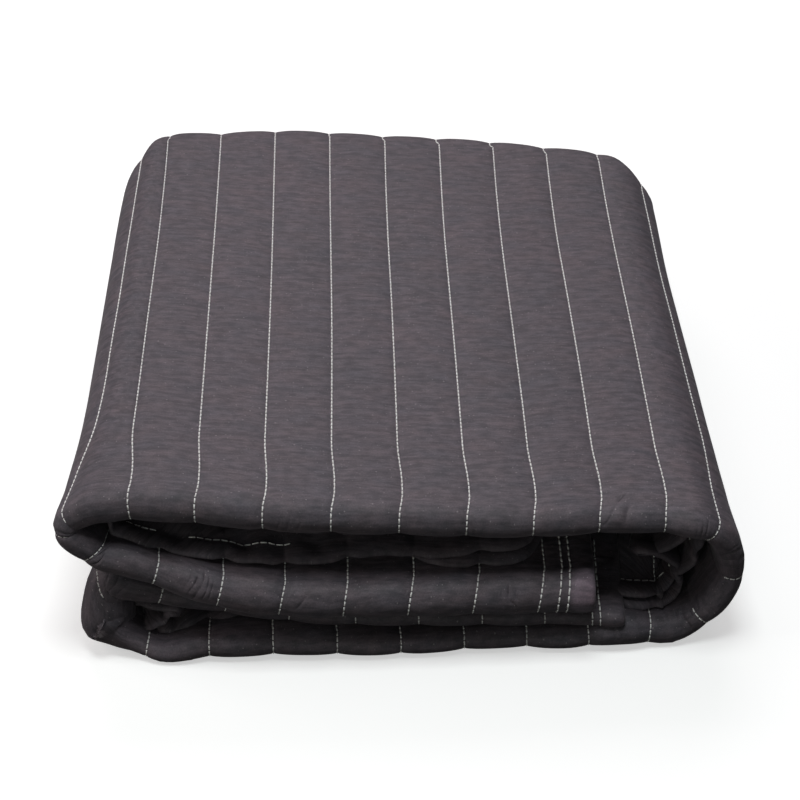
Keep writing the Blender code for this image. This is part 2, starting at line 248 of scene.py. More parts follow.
def along(table, column, cloth):
    """A column of a table at any place along the cloth, on a smooth curve through its rows."""
    at = table[:, 0]
    value = table[:, column]
    slope = np.gradient(value, at)
    i = np.clip(np.searchsorted(at, cloth, side="right") - 1, 0, len(at) - 2)
    run = at[i + 1] - at[i]
    t = (cloth - at[i]) / run
    low = (1 + 2 * t) * (1 - t) ** 2 * value[i] + t * (1 - t) ** 2 * run * slope[i]
    high = t * t * (3 - 2 * t) * value[i + 1] + t * t * (t - 1) * run * slope[i + 1]
    return low + high


print("front at 600 mm:", [round(float(along(FRONT, k, np.array(600.0))), 1) for k in range(1, 6)])

# %% [markdown]
# ## The fold line
#
# Seen along the sewn rows, the strip makes one long line from hem to hem: in along the upper inner
# panel, round a fold, over the top, down the right side, back along the bottom, round a second fold
# and in again. Half circles join straight stretches, and the sag of the front is added to them. A
# curve object could follow the same line, but functions also tell which way is inward at each
# place.

# %% Fold line
FLAT_PANELS = {
    # name: x where it begins, x where it ends, and how many panels lie below it
    "upper inner panel": (UPPER_HEM_X, UPPER_FOLD_X, 2),
    "top panel": (UPPER_FOLD_X, SPINE_X, 3),
    "bottom panel": (SPINE_X, LOWER_FOLD_X, 0),
    "lower inner panel": (LOWER_FOLD_X, LOWER_HEM_X, 1),
}


def fold_line(cloth):
    """Outer face of the strip deep in the pack: x and z at each place along the cloth."""
    upper = MIDDLE + PANEL_GAP / 2
    lower = MIDDLE - PANEL_GAP / 2
    rises = ((HEIGHT - upper) / 2, lower / 2)
    x = np.zeros_like(cloth)
    z = np.zeros_like(cloth)
    start = 0.0
    for name, length in STRETCHES:
        here = (cloth >= start - 1e-9) if start == 0.0 else (cloth > start)
        part = np.clip((cloth - start) / length, 0.0, 1.0)
        turn = math.pi * part
        if name in FLAT_PANELS:
            first, last, rung = FLAT_PANELS[name]
            sx = first + (last - first) * part
            sz = (0.0, lower, upper, HEIGHT)[rung] + 0 * part
        elif name == "right side":
            full = SHOULDER * np.sin(2 * turn) ** 2 * (turn < math.pi / 2)
            sx = SPINE_X + (SPINE_BULGE + full) * np.sin(turn)
            sz = MIDDLE + (MIDDLE + full) * np.cos(turn)
        else:
            begin, foot, rise_of = {
                "upper left fold": (UPPER_FOLD_X, upper, rises[0]),
                "lower left fold": (LOWER_FOLD_X, 0.0, rises[1]),
            }[name]
            sx = begin - rise_of * np.sin(turn)
            sz = foot + rise_of * (1 - np.cos(turn))
        x = np.where(here, sx, x)
        z = np.where(here, sz, z)
        start += length
    return x, z


def inward(x_of, z_of, cloth):
    """Unit direction from the outer face into the pack, for a line given by two functions."""
    step = 1.0
    ahead = np.minimum(cloth + step, ACROSS_ROWS)
    behind = np.maximum(cloth - step, 0.0)
    dx = x_of(ahead) - x_of(behind)
    dz = z_of(ahead) - z_of(behind)
    size = np.hypot(dx, dz)
    return dz / size, -dx / size


def front_x(cloth):
    return fold_line(cloth)[0] + along(FRONT, 1, cloth)


def front_z(cloth):
    return fold_line(cloth)[1] + along(FRONT, 2, cloth)


corner_x, corner_z = fold_line(np.array([0.0, 458.0, 843.0, 1008.0, 1383.0, ACROSS_ROWS]))
print("fold line passes", [(round(a), round(b)) for a, b in zip(corner_x, corner_z)])

# %% [markdown]
# ## Crumples in the right side
#
# Round the right side the inner layers have a shorter way to go than the outer ones, and the slack
# is pushed into the hollow as pleats. The innermost layer stands in furthest and wraps round the
# next one, so each pleat has a depth for each of the two layers, and it wanders as it runs back.
# They could be sculpted too, but a pleat with named sizes can be changed on its own.

# %% Pleats
PLEATS = (
    # crest  half   deep4  deep3  sag4  sag3
    (862, 16, 9, 5, 0, 0),
    (893, 15, 6, 3, 0, 0),
    (932, 25, 35, 6, 6, 0),
    (950, 19, 6, 15, 0, 3),
    (992, 14, 0.5, 1, 0, 0),
    (1024, 16, 0.5, 0, 0, 0),
    (1392, 14, 10, 0, 0, 0),
    (1429, 22, 44, 8, 9, 0),
    (336, 9, 6, 0, 0, 0),
    (354, 8, 5, 0, 0, 0),
)

HUMP = (1026, 52, -168, 42, 24)   # cloth and half width, y and half depth, height
LOW_TUCK = np.array((
    # cloth   dx    dz   of the innermost layer where it is tucked into the lower left fold
    (0, 0, 0),
    (1240, 0, 0),
    (1270, 0, 0),
    (1290, -0.7, -8.3),
    (1300, -0.6, -4.9),
    (1310, -0.8, -3.6),
    (1320, -1.2, -6.8),
    (1330, -2, -7.8),
    (1340, 2.1, -6.4),
    (1350, 1.3, -10.4),
    (1360, 3.4, -8.5),
    (1370, 6.8, -14.1),
    (1380, 16, -16.1),
    (1390, 21.7, -17),
    (1400, 35.3, -8.2),
    (1410, 41, -3.9),
    (1420, 23.3, 16.3),
    (1430, 6.8, 22.6),
    (1440, 2.7, 9.1),
    (1450, 10.4, -6.1),
    (1460, 3.8, -16.2),
    (1470, -3.3, -19.1),
    (1495, 0, 0),
    (1520, 0, 0),
    (1824, 0, 0),
))


def pleat_push(cloth, layer, y):
    """How far the slack of a layer stands into the hollow, and how far it sags there."""
    push = np.zeros_like(cloth)
    drop = np.zeros_like(cloth)
    for number, (crest, half, deep4, deep3, sag4, sag3) in enumerate(PLEATS):
        sway = 5.0 * np.sin(0.021 * y + 1.7 * number)
        swell = 1 + 0.22 * np.sin(0.017 * y + 2.3 * number)
        shape = swell * peak(cloth - crest, sway, half)
        push = push + (deep4 if layer == 4 else deep3) * shape
        drop = drop + (sag4 if layer == 4 else sag3) * shape
    return push, drop


def hump(cloth, y):
    """The inner layers stand up in one broad hump in the right hollow, behind their free edges."""
    at, half, deep_at, deep_half, tall = HUMP
    return tall * peak(cloth, at, half) * peak(y, deep_at, deep_half)


print("pleats", len(PLEATS))

# %% The strip's section
def cloth_point(cloth, stretch, where):
    """Middle of the quilt at a place along the cloth and on the strip's section, before leaning."""
    nose = along(FRONT, 4, cloth)
    back = along(FRONT, 5, cloth)
    roll = along(FRONT, 3, cloth)
    level = [LOFT / 2 + LAYER_STEP * i for i in range(4)]
    drop = 0.0
    shallow = None
    reach = ROLL_REACH * roll - LOFT / 2
    roll_y = nose + LOFT / 2 + reach
    back_y = back - LOFT / 2 - BACK_REACH
    inner_back_y = back - 1.5 * LOFT - INNER_GAP - INNER_REACH
    if stretch in ("layer 3", "layer 4"):
        number = int(stretch[-1])
        edge = nose + along(EDGES, number - 2, cloth)
        end = inner_back_y if number == 3 else back_y
        y = edge + (end - edge) * where
        fold_in, drop = [by * fall(y, back_y, SLACK_END) for by in pleat_push(cloth, number, y)]
        fold_in = fold_in + hump(cloth, y)
        deep = level[number - 1] + fold_in
        shallow = along(EDGES, number, cloth) + fold_in
    elif stretch in ("back fold", "inner back fold"):
        first, last, base, out, way = (
            (level[0], level[3], back_y, BACK_REACH, -1) if stretch == "back fold"
            else (level[1], level[2], inner_back_y, INNER_REACH, 1)
        )
        turn = math.pi * (where - 0.5)
        middle = (first + last) / 2
        y = base + out * math.cos(turn)
        deep = middle + way * (last - middle) * math.sin(turn) + 0 * cloth
    elif stretch == "front roll":
        turn = math.pi * where
        y = roll_y - reach * math.sin(turn)
        deep = roll / 2 - (roll / 2 - LOFT / 2) * math.cos(turn)
    elif stretch == "layer 1":
        y = roll_y + (back_y - roll_y) * where
        deep = level[0] + 0 * cloth
    else:
        y = roll_y + (inner_back_y - roll_y) * where
        deep = level[1] + 0 * cloth
        shallow = roll - LOFT / 2 - ROLL_FALL * rise(y - nose, 12, 26)
    shallow = deep if shallow is None else shallow
    loose = 1 - rise(y - nose, LOOSE, SETTLED - LOOSE)
    x, z = fold_line(cloth)
    nx, nz = inward(lambda c: fold_line(c)[0], lambda c: fold_line(c)[1], cloth)
    fx, fz = front_x(cloth), front_z(cloth)
    fnx, fnz = inward(front_x, front_z, cloth)
    px = (1 - loose) * (x + nx * deep) + loose * (fx + fnx * shallow)
    pz = (1 - loose) * (z + nz * deep) + loose * (fz + fnz * shallow)
    if stretch == "layer 4":
        in_gap = rise(cloth, 150, 60) * (cloth < 345)
        drop = drop + HEM_FALL * rise(y - edge, 1, 16) * in_gap
        px = px + along(LOW_TUCK, 1, cloth) * loose
        pz = pz + along(LOW_TUCK, 2, cloth) * loose
    return px, y, pz - drop


print("front roll at 600 mm:", [round(float(v), 1) for v in cloth_point(600.0, "front roll", 0.5)])

# %% Lean and draw
def lean(x, y, z):
    """The pack leans, its left side the taller, and its sides draw in towards the back."""
    drawn = SIDE_DRAW * rise(y, FRONT_Y, 160) + BACK_DRAW * rise(y, -60, 280)
    near = NEAR_DRAW * rise(y, FRONT_Y, 50)
    drawn = drawn + MID_DRAW * peak(y, 10, 150)
    kept = 1 - TOP_KEPT * rise(z, 84, 30)
    drawn = np.where(x > 0, (drawn + RIGHT_SHARE * near) * kept, drawn + near)
    x = x - np.sign(x) * drawn * rise(np.abs(x), DRAWN_FROM, 50)
    z = z * (1 - LEAN * np.clip(x / HALF_WIDTH, -1.1, 1.1))
    return x, y - CENTRE_Y, z


print("top left corner:", [round(float(v), 1) for v in lean(UPPER_FOLD_X, FRONT_Y, HEIGHT)])

# %% [markdown]
# ## A grid of places on the cloth
#
# The section of the strip runs from the fourth layer's free edge, round the back fold, forward over
# the outer layer, round the front roll, back along the second layer, round the inner back fold and
# forward along the third. Points lie close together where the cloth shows and further apart deep in
# the pack. Across the rows there are ten points to a row pitch, and two more hard against each row,
# so that the thread lies in a real trough. An even grid would be simpler, and would spend most of
# its points where nobody can see them.

# %% Places
EDGE_STEPS = (0.0, 2.0, 4.5, 8.0, 11.5, 15.0, 18.5, 24.0, 32.0, 42.0, 56.0)
LAYER_LENGTH = 450.0          # about the length of an inner layer
OUTER_STEPS = 88
ROLL_STEPS = 14
NEAR_FRONT = 0.1              # share of the outer layer that gets all of its places
deep_steps = (0.2, 0.32, 0.46, 0.62, 0.8)

section = [("layer 4", step / LAYER_LENGTH, "all") for step in EDGE_STEPS]
section += [("layer 4", where, "all") for where in deep_steps]
section += [("back fold", step / 10, "outside") for step in range(11)]
for step in range(OUTER_STEPS):
    where = 1 - (step + 0.5) / OUTER_STEPS
    section.append(("layer 1", where, "all" if where < NEAR_FRONT else "outside"))
section += [("front roll", step / ROLL_STEPS, "all") for step in range(ROLL_STEPS + 1)]
section += [("layer 2", 0.01 * step, "all") for step in range(1, 18)]
section += [("layer 2", where, "few") for where in (0.2, 0.3, 0.45, 0.6, 0.8)]
section += [("inner back fold", step / 4, "few") for step in range(5)]
section += [("layer 3", where, "few") for where in reversed(deep_steps)]
section += [("layer 3", step / LAYER_LENGTH, "all") for step in reversed(EDGE_STEPS)]

OUTSIDE = (320, 1500)         # the stretch of the cloth that is the outside of the pack
rows = [FIRST_ROW + ROW_PITCH * row for row in range(ROW_COUNT)]
HEM_ROWS = (15.5, 21.0)
TROUGH = 1.4                  # half width of the trough that the thread lies in
fine_places = [0.0, 1.5, 4.0, 8.0, 12.0, 18.2, 25.0, 29.0]
fine_places += [ACROSS_ROWS - place for place in fine_places]
ALL_HEM_ROWS = HEM_ROWS + tuple(ACROSS_ROWS - row for row in HEM_ROWS)
fine_places += ALL_HEM_ROWS
for at in rows:
    fine_places += [at - TROUGH, at, at + TROUGH]
    if at < rows[-1]:
        fine_places += [at + ROW_PITCH * step / 10 for step in range(1, 10)]
fine_places = np.array(sorted(set(np.round(fine_places, 4))))
fine_places = fine_places[(fine_places >= 0) & (fine_places <= ACROSS_ROWS)]
quarters = {round(at + ROW_PITCH * step / 4, 4) for at in rows[:-1] for step in (1, 2, 3)}
coarse_places = np.array(sorted(set(fine_places[[0, -1]]) | set(np.round(rows, 4)) | quarters))
in_view = (fine_places > OUTSIDE[0]) & (fine_places < OUTSIDE[1])
outside_places = np.array(sorted(set(coarse_places) | set(fine_places[in_view])))
places_of = {"all": fine_places, "outside": outside_places, "few": coarse_places}
whole = np.array(sorted(set(fine_places) | set(coarse_places)))
print("section steps", len(section), "places across", {k: len(v) for k, v in places_of.items()})

# %% [markdown]
# ## Soft unevenness
#
# No cloth lies dead flat. A few slow waves, added together with seeded sizes and directions, give a
# smooth field that never repeats. The same helper makes the wander of the sewn rows, the slow rise
# and fall of the big faces, and the puckers along the free edges. The Displace modifier could do
# this with a noise texture, but these waves also have to fade out and to move rows sideways.

# %% Soft waves
WAVES = 16


def soft_waves(a, b, size_a, size_b, seed):
    """A smooth field of about unit strength, with waves of these sizes along a and along b."""
    draw = np.random.default_rng(seed)
    total = 0.0
    for _ in range(WAVES):
        turn_a, turn_b = draw.normal(0, 2.6, 2)
        phase = draw.uniform(0, 2 * math.pi)
        total = total + np.cos(turn_a * a / size_a + turn_b * b / size_b + phase)
    return total * math.sqrt(2.0 / WAVES)


print("soft waves at 0, 0:", round(float(soft_waves(0.0, 0.0, 1.0, 1.0, 1)), 2))

# %% The middle of the quilt
def middle_grid(slide):
    """Middle points of the quilt, each slid this far along the fold line: a row for each step."""
    return np.array([
        np.stack(lean(*cloth_point(np.clip(whole + by, 0.0, ACROSS_ROWS), stretch, where)), axis=1)
        for (stretch, where, _), by in zip(section, slide)
    ])


grid = middle_grid(np.zeros((len(section), 1)))
steps_along = np.linalg.norm(np.diff(grid, axis=0), axis=2)
from_start = np.concatenate([np.zeros((1, len(whole))), np.cumsum(steps_along, axis=0)])
nose_step = section.index(("front roll", 0.5, "all"))
# along the strip: 0 at the foremost line of the roll, positive up and back over the outer layer
strip = from_start[nose_step] - from_start
from_edge_4 = from_start
from_edge_3 = from_start[-1] - from_start
cloth = np.broadcast_to(whole, strip.shape)

# %% [markdown]
# ## Thickness of the quilt
#
# Between two rows the loft pushes both faces out into a low pillow, and in a row the thread draws
# them together. The hems are turned over twice, so they are a firm little tube with a sewn trough
# beside it. Both faces share these half thicknesses, so the cloth is one closed piece. The Solidify
# modifier gives a sheet its thickness too, but this one changes from point to point, so it is
# worked out in the same grid.

# %% Thickness
PILLOW_POWER = 2.6
HEM_TUBE = 6.0                # thickness of a side hem between its edge and its rows
BETWEEN_HEM_ROWS = 3.6
EDGE_HEM = 15.0               # from a long edge to its sewn row
EDGE_TUBE = 7.0               # thickness of a long edge's hem
BAND_RISE = 1.2               # rise of the narrow band between a hem's rows and the first row
TUBE_PINCH = 2.2              # how much a sewn row takes off a long edge's hem, and how far it acts
PINCH_REACH = 7.0
ROW_SINK = 0.45               # how far the thread cuts into each face


def bump_between(t):
    """A pillow's rise: 0 at both ends of 0..1 and 1 in the middle, steep at the ends."""
    t = np.clip(t, 0.0, 1.0)
    return 1.0 - np.abs(2.0 * t - 1.0) ** PILLOW_POWER


def half_thickness():
    """Half the quilt's thickness over the whole grid."""
    row = np.clip(np.floor((whole - FIRST_ROW) / ROW_PITCH), 0, ROW_COUNT - 2)
    part = (whole - FIRST_ROW - ROW_PITCH * row) / ROW_PITCH
    thick = SEWN_LOFT + (LOFT - SEWN_LOFT) * bump_between(part)
    from_side = np.minimum(whole, ACROSS_ROWS - whole)
    tube = SEWN_LOFT + (HEM_TUBE - SEWN_LOFT) * bump_between(from_side / HEM_ROWS[0])
    in_band = (from_side - HEM_ROWS[1]) / (FIRST_ROW - HEM_ROWS[1])
    band = SEWN_LOFT + BAND_RISE * bump_between(in_band)
    thick = np.where(from_side < FIRST_ROW, band, thick)
    thick = np.where(from_side < HEM_ROWS[1], BETWEEN_HEM_ROWS, thick)
    thick = np.where(from_side < HEM_ROWS[0], tube, thick)
    thick = np.broadcast_to(thick, grid.shape[:2]).copy()
    tube = SEWN_LOFT + (EDGE_TUBE - SEWN_LOFT) * bump_between(edge / EDGE_HEM)
    tube = tube - TUBE_PINCH * (1 - smooth(to_row / PINCH_REACH))
    sink = ROW_SINK * (1 - smooth(to_row / TROUGH))
    return np.where(edge < EDGE_HEM, np.minimum(tube, EDGE_TUBE), thick) / 2 - sink


edge = np.minimum(from_edge_3, from_edge_4)
to_row = np.min(np.abs(whole[:, None] - np.array(rows)), axis=1)[None, :]
half = half_thickness()
print("thickness", round(2 * float(half.min()), 2), "to", round(2 * float(half.max()), 2), "mm")

# %% [markdown]
# ## Puckers, sways and creases
#
# The middle surface is moved first: the rows sway a little from straight, the big faces rise and
# fall by a millimetre or two, and the free edges pucker where each row pinches them. Creases come
# last. Each is a soft trough along a short line on the cloth, in its own sizes. A crease is cut
# into the outer face alone, and would meet the inner face if it were deep, so the two deepest are
# dents, which push both faces in. By hand they would be carved in sculpt mode, and the tables are
# the script's way of doing that.

# %% Parts of the grid
names = np.array([stretch for stretch, _, _ in section])
on_outer = np.isin(names, ("layer 1", "front roll"))[:, None]
on_front = np.isin(names, ("layer 1", "front roll", "layer 2"))[:, None]
on_inner = np.isin(names, ("layer 3", "layer 4"))[:, None]
from_fourth = from_edge_4 < from_edge_3
inner_number = np.where(from_fourth, 4, 3)
print("steps on the outside", int(on_outer.sum()), "and inside", int(on_inner.sum()))

# %% Sway of the rows
SWAY = np.array((
    # strip  sway of the rows on the top, to the right
    (0, 0.8),
    (12, 1.2),
    (95, 1.9),
    (150, 1.9),
    (260, 1.3),
    (330, 0.7),
    (400, 1),
    (470, 2),
))
SWAY_SHARE = np.array((
    # cloth  share of that sway
    (440, 0),
    (478, -1.6),
    (522, -0.1),
    (567, 0),
    (656, 0.75),
    (745, 1),
    (834, 0.9),
    (878, 0),
    (1000, 0),
))
FRONT_SWAY = np.array((
    # cloth  sway of the rows at the front alone, on along the cloth
    (0, 0),
    (190, 0),
    (210, 0),
    (225, -4),
    (255, 0),
    (300, 0),
    (344.5, 14),
    (389, 7),
    (433.5, -9),
    (478, 2),
    (500, 0),
    (540, 0),
    (860, 0),
    (900, 0),
    (922, 2),
    (968, 0.5),
    (1012, 5),
    (1040, 0),
    (1060, 0),
    (1360, 0),
    (1395, 0),
    (1412.5, 0),
    (1457, 0),
    (1501.5, 9.5),
    (1546, 7.5),
    (1590.5, 5),
    (1635, 5),
    (1679.5, 4),
    (1724, 3.4),
    (1768.5, 2),
    (1800, 0),
    (1824, 0),
))
on_top = rise(cloth, 440, 40) * fall(cloth, 880, 40)
row_sway = along(SWAY, 1, np.clip(strip, 0.0, 470.0))
row_sway = row_sway * along(SWAY_SHARE, 1, np.clip(cloth, 440.0, 1000.0)) * on_top
# near the front, the rows of the top slide on along the cloth, and so do the first panel's
row_sway = row_sway + 2.2 * rise(strip, 4, 22) * fall(strip, 80, 45) * on_top
row_sway = row_sway + 4.2 * rise(strip, -26, 34) * fall(cloth, 290, 80) * rise(cloth, 0, 30)
row_sway = row_sway + 0.4 * soft_waves(cloth, strip, 160.0, 330.0, 11) * on_outer
at_front = rise(strip, -60, 40) * fall(strip, 90, 60) * on_front
in_upper_fold = (cloth > 310) & (cloth < 411)
at_front = np.where(in_upper_fold, at_front * rise(strip, -16, 20), at_front)
row_sway = row_sway + along(FRONT_SWAY, 1, cloth) * at_front
row_sway = row_sway - 14.0 * fall(strip, 14, 16) * peak(cloth, 1457, 42)
print("sway up to", round(float(np.abs(row_sway).max()), 1), "mm")

# %% Swell and puckers
# the big faces rise and fall, and the free edges pucker, crumple and scallop
swell = 0.7 * soft_waves(cloth, strip, 300.0, 420.0, 12)
swell = swell + 0.35 * soft_waves(cloth, strip, 90.0, 150.0, 13)
swell = swell * on_outer * rise(strip, -20, 60)
apart = 60.0 * inner_number
pucker = 1.5 * soft_waves(cloth, apart, 110.0, 50.0, 14) * np.exp(-edge / 26.0) * on_inner
crumple = 1.2 * soft_waves(cloth, edge + apart, 24.0, 30.0, 17)
crumple = crumple * np.exp(-((edge - 12.0) / 22.0) ** 2)
pucker = pucker + crumple * on_inner * fall(cloth, 430, 40) * rise(cloth, 90, 40)
scallop = 2.6 * (1 - smooth(to_row / 9.0)) * np.exp(-edge / 9.0) * on_inner
print("swell up to", round(float(np.abs(swell).max()), 1), "mm")

# %% The moved surface
def unit(vectors):
    return vectors / np.linalg.norm(vectors, axis=-1, keepdims=True)


def unit_normals(points):
    """Unit normals of a grid of points, towards the blanket's outer face."""
    return unit(np.cross(np.gradient(points, axis=0), np.gradient(points, axis=1)))


forward = unit(np.gradient(grid, axis=0)) * np.where(from_fourth, 1.0, -1.0)[:, :, None]
grid = middle_grid(row_sway * on_front)
normal = unit_normals(grid)
grid = grid + normal * (swell + pucker)[:, :, None] + forward * scallop[:, :, None]
normal = unit_normals(grid)
print("quilt's middle from", grid.min(axis=(0, 1)).round(1), "to", grid.max(axis=(0, 1)).round(1))

# %% Creases and dents
CREASES = np.array((
    # cloth  strip  cloth  strip  width  depth
    (1413, 8, 1440, -9, 4.5, 2.8),
    (1372, 10, 1396, -8, 7, 0.8),
    (788, 4, 806, 28, 5, 0.9),
    (801, -4, 816, 18, 5, 0.8),
    (838, 4, 850, 26, 5, 0.7),
    (392, 10, 420, -4, 4.5, 1),
    (404, 14, 432, 2, 5, 0.6),
    (905, -6, 903, 10, 4, 1.2),
    (914, -6, 915, 9, 4, 1),
    (973, -14, 978, 0, 4, 1.6),
    (983, -14, 981, -1, 4, 1.3),
    (600, -4, 612, 14, 5, 0.5),
    (728, 0, 738, 20, 6, 0.5),
    (198, -14, 203, 0, 4.5, 0.7),
    (56, -12, 50, 1, 4.5, 0.7),
    (120, -16, 126, -2, 5, 0.5),
    (500, 20, 512, 44, 8, 0.5),
))
DENTS = np.array((
    # the same columns, both at the lower left fold
    (1402, 2, 1424, -16, 12, 2),
    (1404, -2, 1376, -14, 14, 2.4),
))
CREASE_LIMIT = 1.3            # a crease is at most this share of the half thickness deep


def crease_depth(table):
    """Depth of all creases over the grid: each a soft trough that fades towards its two ends."""
    total = np.zeros_like(strip)
    for c0, s0, c1, s1, width, depth in table:
        run_c, run_s = c1 - c0, s1 - s0
        length = math.hypot(run_c, run_s)
        t = ((cloth - c0) * run_c + (strip - s0) * run_s) / length ** 2
        near = np.clip(t, 0.0, 1.0)
        off = np.hypot(cloth - c0 - near * run_c, strip - s0 - near * run_s)
        total = total + depth * np.exp(-(off / width) ** 2) * (0.35 + 0.65 * bump_between(t))
    return total


not_second = (names != "layer 2")[:, None]
grid = grid - normal * (crease_depth(DENTS) * not_second)[:, :, None]
normal = unit_normals(grid)
outer_half = half - np.minimum(crease_depth(CREASES), CREASE_LIMIT * half) * not_second
print("creases", len(CREASES), "and dents", len(DENTS))

# %% [markdown]
# ## The quilt as one closed mesh
#
# The outer face's points and the inner face's points are joined row by row into one ring of rows.
# Where a finely divided row meets a coarse one, the two are zipped with triangles. Each edge gets a
# line of points of its own, pushed outwards, so that the hems end round and not sharp. Bridge Edge
# Loops could join them as well, but it chooses its own partners for each point, and here they are
# known from the flat cloth.

# %% Rings of points
EDGE_ROUND = 1.3              # how far the middle of an edge stands out
FLATTENED = 1.0               # the weight of the pack presses points lower than this flat
INNER_SHARE = 4               # one step in so many is kept for the hidden face of the outer layer

sideways = unit(np.gradient(grid, axis=1))
outer = grid + normal * outer_half[:, :, None]
inner = grid - normal * half[:, :, None]
verts = []
flats = []
rings = []


def add_ring(points, step, places):
    """A row of points for a step of the section, with each point's place on the flat cloth."""
    pick = np.searchsorted(whole, places - 1e-5)
    chosen = points[pick].copy()
    chosen[:, 2] = np.where(chosen[:, 2] < FLATTENED, 0.0, chosen[:, 2])
    first = len(verts)
    verts.extend(map(tuple, chosen * MM))
    flats.extend(zip(whole[pick] * MM, strip[step][pick] * MM))
    rings.append((np.arange(first, first + len(pick)), places))


last = len(section) - 1
all_steps = list(range(len(section)))
inner_steps = [i for i in all_steps if names[i] != "layer 1" or i % INNER_SHARE == 0]
for i in all_steps:
    add_ring(outer[i], i, places_of[section[i][2]])
add_ring(grid[last] - EDGE_ROUND * forward[last], last, fine_places)
for i in reversed(inner_steps):
    near_edge = names[i] in ("layer 3", "layer 4") and min(i, last - i) < len(EDGE_STEPS)
    add_ring(inner[i], i, fine_places if near_edge else coarse_places)
add_ring(grid[0] - EDGE_ROUND * forward[0], 0, fine_places)
print("rings", len(rings), "of", len(verts), "points")

# %% Faces
def zip_rows(ids_a, at_a, ids_b, at_b):
    """Faces between two rows of points that may have different places along them."""
    faces = []
    i = j = 0
    while i < len(ids_a) - 1 or j < len(ids_b) - 1:
        next_a = at_a[i + 1] if i < len(ids_a) - 1 else math.inf
        next_b = at_b[j + 1] if j < len(ids_b) - 1 else math.inf
        if abs(next_a - next_b) < 1e-6:
            faces.append((ids_a[i], ids_b[j], ids_b[j + 1], ids_a[i + 1]))
            i += 1
            j += 1
        elif next_a < next_b:
            faces.append((ids_a[i], ids_b[j], ids_a[i + 1]))
            i += 1
        else:
            faces.append((ids_a[i], ids_b[j], ids_b[j + 1]))
            j += 1
    return faces


faces = []
for k, (ids, places) in enumerate(rings):
    next_ids, next_places = rings[(k + 1) % len(rings)]
    faces += zip_rows(ids, places, next_ids, next_places)
print("faces between the rings", len(faces))

# %% Side hems
def close_hem(side):
    """Closes a side hem between its outer and inner faces, with a rounded line down the middle."""
    ids = [ring[side] for ring, _ in rings]
    out_ids, tip, in_ids, back_tip = ids[:last + 1], ids[last + 1], ids[-2:last + 1:-1], ids[-1]
    push = sideways[:, side] * (-1 if side == 0 else 1)
    middle = [len(verts) + step for step in all_steps]
    verts.extend(map(tuple, (grid[:, side] + EDGE_ROUND * push) * MM))
    flats.extend(zip(np.full(last + 1, whole[side]) * MM, strip[:, side] * MM))
    made = zip_rows(out_ids, all_steps, middle, all_steps)
    made += zip_rows(middle, all_steps, in_ids, inner_steps)
    made += [(out_ids[0], middle[0], back_tip), (middle[0], in_ids[0], back_tip)]
    made += [(middle[-1], out_ids[-1], tip), (in_ids[-1], middle[-1], tip)]
    return [face if side == 0 else face[::-1] for face in made]


faces += close_hem(0) + close_hem(-1)
print("faces with the hems", len(faces))

# %% The quilt's mesh
def new_piece(name, points, made, map_name, map_of_points):
    """A piece from points and faces, with a UV map that gives each point a place of its own."""
    mesh = bpy.data.meshes.new(name)
    mesh.from_pydata(points, [], made)
    corners = np.zeros(len(mesh.loops), dtype=np.int64)
    mesh.loops.foreach_get("vertex_index", corners)
    places = np.array(map_of_points)[corners]
    mesh.uv_layers.new(name=map_name).data.foreach_set("uv", places.ravel())
    piece = bpy.data.objects.new(name, mesh)
    bpy.context.scene.collection.objects.link(piece)
    return piece


faces = [tuple(int(v) for v in face) for face in faces]
quilt = new_piece("quilted_blanket", verts, faces, "flat cloth", flats)
bpy.ops.object.select_all(action="DESELECT")
quilt.select_set(True)
bpy.context.view_layer.objects.active = quilt
bpy.ops.object.mode_set(mode="EDIT")
bpy.ops.mesh.select_all(action="SELECT")
bpy.ops.mesh.normals_make_consistent(inside=False)
bpy.ops.object.mode_set(mode="OBJECT")
bpy.ops.object.shade_smooth()
print("quilt", len(verts), "points", sum(len(face) - 2 for face in faces), "triangles")

# %% [markdown]
# ## Sewing the rows
#
# A lockstitch shows as a line of short threads, each sunk a little at its two ends. One stitch is
# modelled as a small lozenge of sixteen triangles and copied along every row that can be seen. The
# rows of the quilting are sewn at about 4 mm a stitch, and the hems at a longer 5.6 mm. A pale
# stripe in the material would be cheaper, but it would lie flat in light from the side.

# %% One stitch
ROW_STITCH = 4.1
HEM_STITCH = 5.6
THREAD = 1.2                 # width of the thread
STITCH_FILL = 0.9            # share of the pitch that the thread covers
THREAD_LIFT = 0.3            # how far the thread lies above the bottom of its trough
UNEVEN = 0.03                # slant of a stitch, as a share of its pitch
OFF_FLOOR = 0.05

# one stitch, in shares of its length and width: a tip, a ring of four corners, a ring and a tip
SUNK = -0.35
RING = ((-0.5, 0.0), (0.0, 0.5), (0.5, 0.0), (0.0, SUNK))
STITCH_POINTS = [(-0.5, 0.0, SUNK)] + [(end, a, b) for end in (-0.4, 0.4) for a, b in RING]
STITCH_POINTS.append((0.5, 0.0, SUNK))
STITCH_FACES = [(0, 1 + k, 1 + (k + 1) % 4) for k in range(4)]
STITCH_FACES += [(1 + k, 5 + k, 5 + (k + 1) % 4, 1 + (k + 1) % 4) for k in range(4)]
STITCH_FACES += [(9, 5 + (k + 1) % 4, 5 + k) for k in range(4)]
print("a stitch of", len(STITCH_POINTS), "points and", len(STITCH_FACES), "faces")

